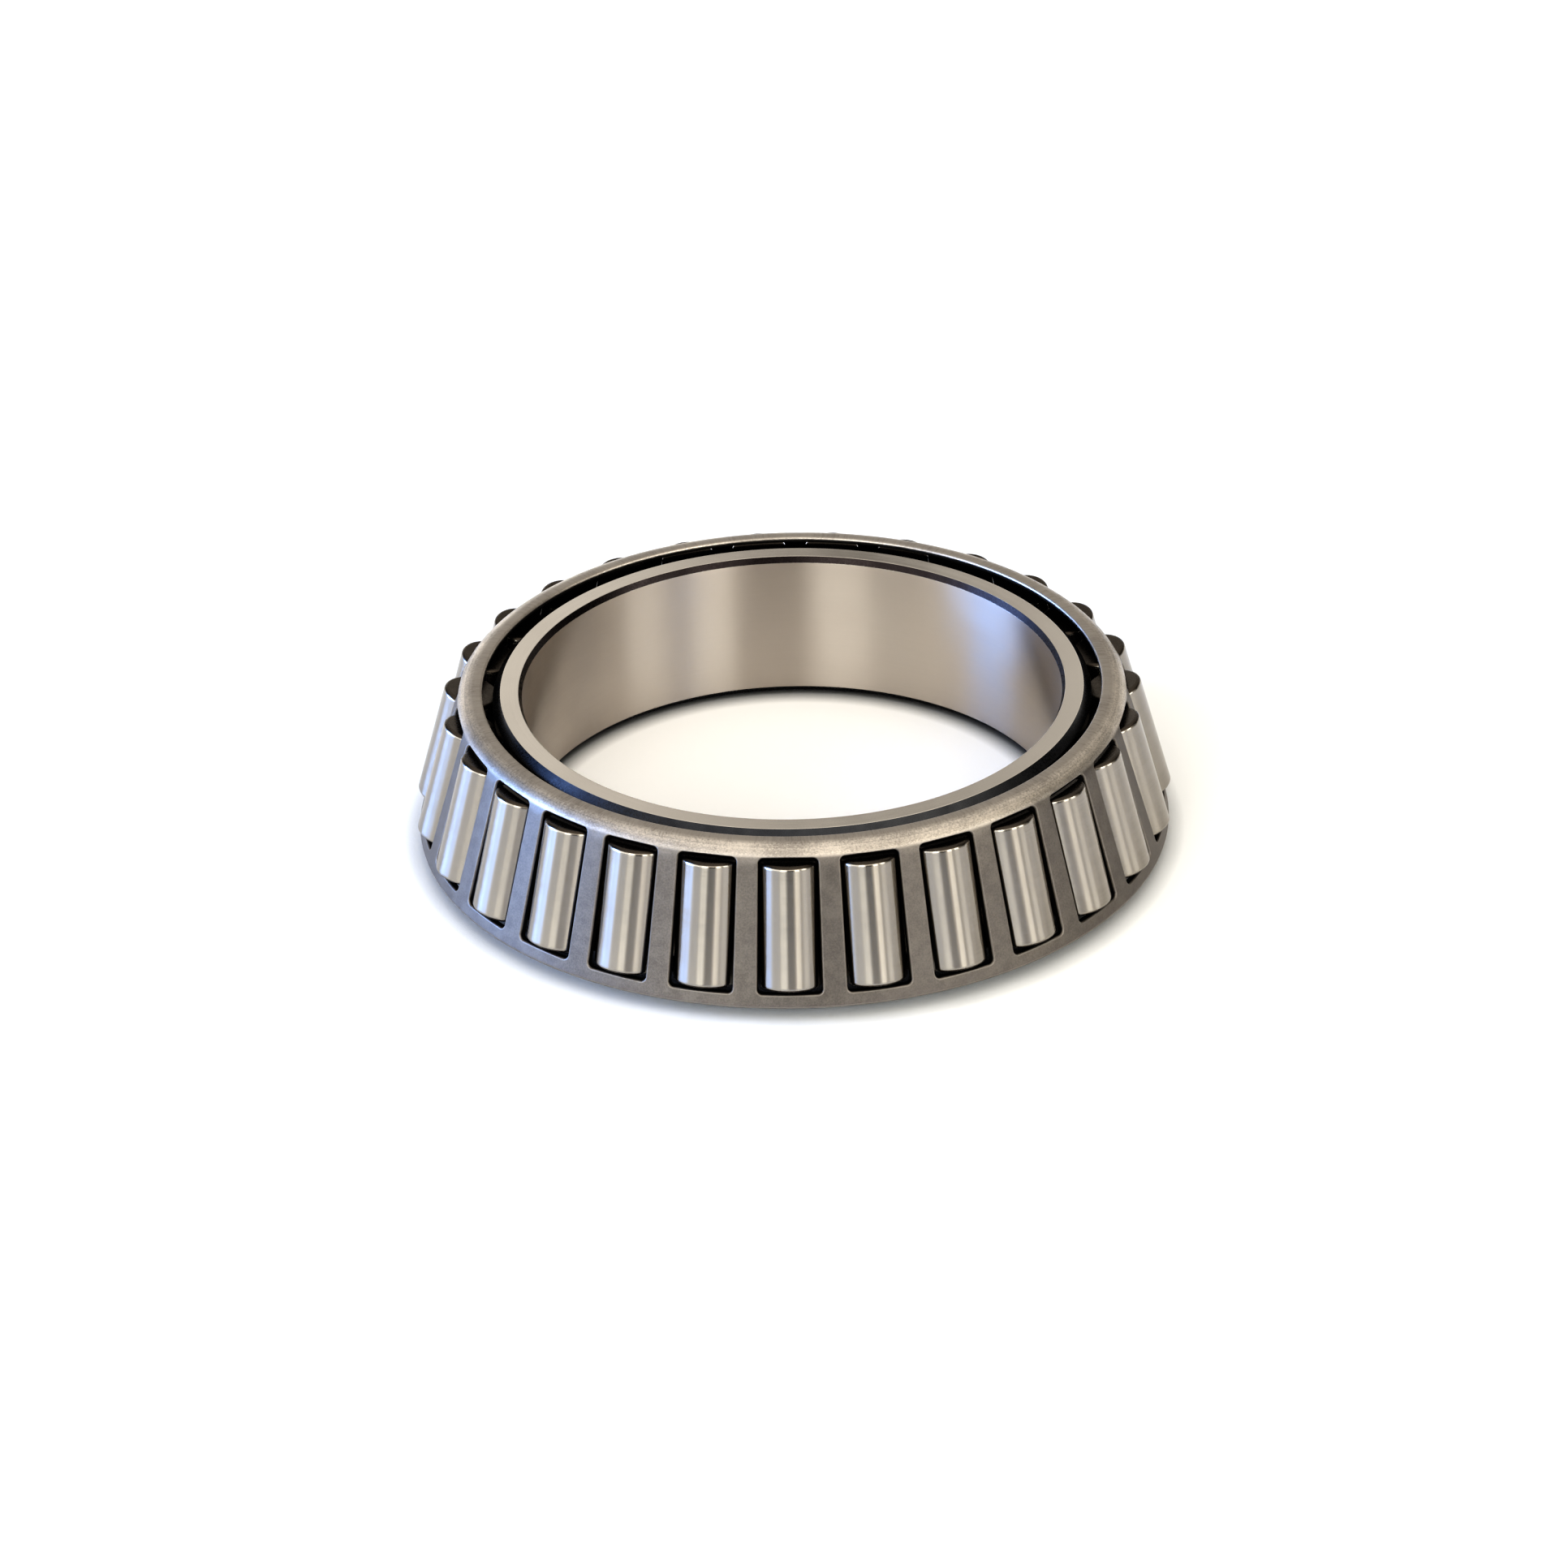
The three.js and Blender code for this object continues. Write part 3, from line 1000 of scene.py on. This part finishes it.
# The room round the object, as (degrees right of the camera, brightness, tint), at three heights.
WARM = (1.06, 1.0, 0.88)
DAYLIGHT = (0.98, 1.0, 0.97)
NEUTRAL = (1.04, 1.0, 0.93)
COOL = (0.86, 1.0, 1.26)
WINDOW = (0.62, 1.0, 1.95)
LOW_ROOM = [
    (-180, 1.80, NEUTRAL),
    (-165, 2.60, NEUTRAL),
    (-140, 3.20, NEUTRAL),
    (-124, 3.20, COOL),
    (-111, 5.00, WINDOW),
    (-106, 15.5, WINDOW),
    (-90, 15.5, WINDOW),
    (-85, 9.00, WINDOW),
    (-70, 8.50, WINDOW),
    (-63, 3.00, COOL),
    (-56, 1.10, COOL),
    (-40, 1.10, COOL),
    (-32, 1.40, DAYLIGHT),
    (-14, 1.20, DAYLIGHT),
    (-7, 0.00, NEUTRAL),
    (15, 0.00, NEUTRAL),
    (21, 1.80, WARM),
    (26, 2.90, WARM),
    (40, 2.70, WARM),
    (46, 1.40, WARM),
    (66, 1.70, WARM),
    (84, 1.60, WARM),
    (100, 0.40, WARM),
    (122, 1.50, NEUTRAL),
    (144, 2.80, NEUTRAL),
    (158, 0.40, NEUTRAL),
    (170, 0.50, NEUTRAL),
    (180, 1.80, NEUTRAL),
]
MID_ROOM = [
    (-180, 0.25, NEUTRAL),
    (-178.5, 0.30, NEUTRAL),
    (-177, 1.30, NEUTRAL),
    (-172, 1.50, NEUTRAL),
    (-150, 0.80, NEUTRAL),
    (-126, 0.00, NEUTRAL),
    (-108, 0.00, WINDOW),
    (-104, 10.8, WINDOW),
    (-82, 10.8, WINDOW),
    (-78, 6.40, DAYLIGHT),
    (-34, 5.40, DAYLIGHT),
    (-30, 12.0, DAYLIGHT),
    (-13, 11.8, DAYLIGHT),
    (-8, 6.50, DAYLIGHT),
    (-3, 0.30, DAYLIGHT),
    (2, 0.00, DAYLIGHT),
    (18, 0.10, DAYLIGHT),
    (24, 1.30, DAYLIGHT),
    (27, 11.0, DAYLIGHT),
    (41, 9.60, DAYLIGHT),
    (45, 1.40, DAYLIGHT),
    (54, 1.60, DAYLIGHT),
    (57, 8.00, DAYLIGHT),
    (73, 9.60, DAYLIGHT),
    (76, 0.60, DAYLIGHT),
    (90, 0.20, DAYLIGHT),
    (110, 0.05, NEUTRAL),
    (150, 0.80, NEUTRAL),
    (172, 1.50, NEUTRAL),
    (177, 1.20, NEUTRAL),
    (180, 0.25, NEUTRAL),
]
HIGH_ROOM = [
    (-180, 1.20, NEUTRAL),
    (-172, 1.30, NEUTRAL),
    (-140, 1.00, NEUTRAL),
    (-118, 0.60, COOL),
    (-104, 0.90, COOL),
    (-88, 1.20, NEUTRAL),
    (-72, 1.40, NEUTRAL),
    (-20, 2.40, NEUTRAL),
    (10, 3.20, NEUTRAL),
    (45, 3.50, WARM),
    (80, 2.30, WARM),
    (105, 0.60, WARM),
    (150, 1.20, NEUTRAL),
    (180, 1.20, NEUTRAL),
]
# The elevations over which one room gives way to the next, and the overhead lamp's edge, as
# angles from straight up
LOW_TO_MID = (radians(7), radians(16))
MID_TO_HIGH = (radians(24), radians(38))
LAMP_EDGE = (radians(42), radians(24))
STUDIO_BRIGHTNESS = 0.5
LAMP_BRIGHTNESS = 1.9


def bright(tint, level):
    return rgb(*(level * part for part in tint))


def azimuth_stops(room):
    return [((azimuth + 180) / 360, bright(tint, level)) for azimuth, level, tint in room]


def add_light():
    """A soft studio: a pale room in bands round the horizon and a broad lamp overhead."""
    world = bpy.data.worlds.new("studio")
    world.use_nodes = True
    g = Graph(world.node_tree)
    direction = g.add("ShaderNodeTexCoord").outputs["Generated"]
    x, y, z = g.add("ShaderNodeSeparateXYZ", {0: direction}).outputs
    azimuth = g.math("ARCTAN2", x, g.math("MULTIPLY", y, -1.0))
    turn = g.math("ADD", g.math("DIVIDE", azimuth, 2 * math.pi), 0.5)
    low, mid, high = (g.ramp(turn, azimuth_stops(room)) for room in (LOW_ROOM, MID_ROOM, HIGH_ROOM))
    colour = g.mix(g.span(z, *map(math.sin, LOW_TO_MID)), low, mid)
    colour = g.mix(g.span(z, *map(math.sin, MID_TO_HIGH)), colour, high)
    lamp = g.span(z, *map(math.cos, LAMP_EDGE))
    colour = g.mix(lamp, colour, bright(NEUTRAL, LAMP_BRIGHTNESS))
    background = g.add("ShaderNodeBackground", {"Color": colour, "Strength": STUDIO_BRIGHTNESS})
    g.add("ShaderNodeOutputWorld", {"Surface": background.outputs[0]})
    bpy.context.scene.world = world


bpy.context.scene.view_settings.view_transform = "Standard"
bpy.context.scene.view_settings.look = "High Contrast"
add_camera()
add_floor()
add_light()
add_ring()
add_cage()
add_rollers()
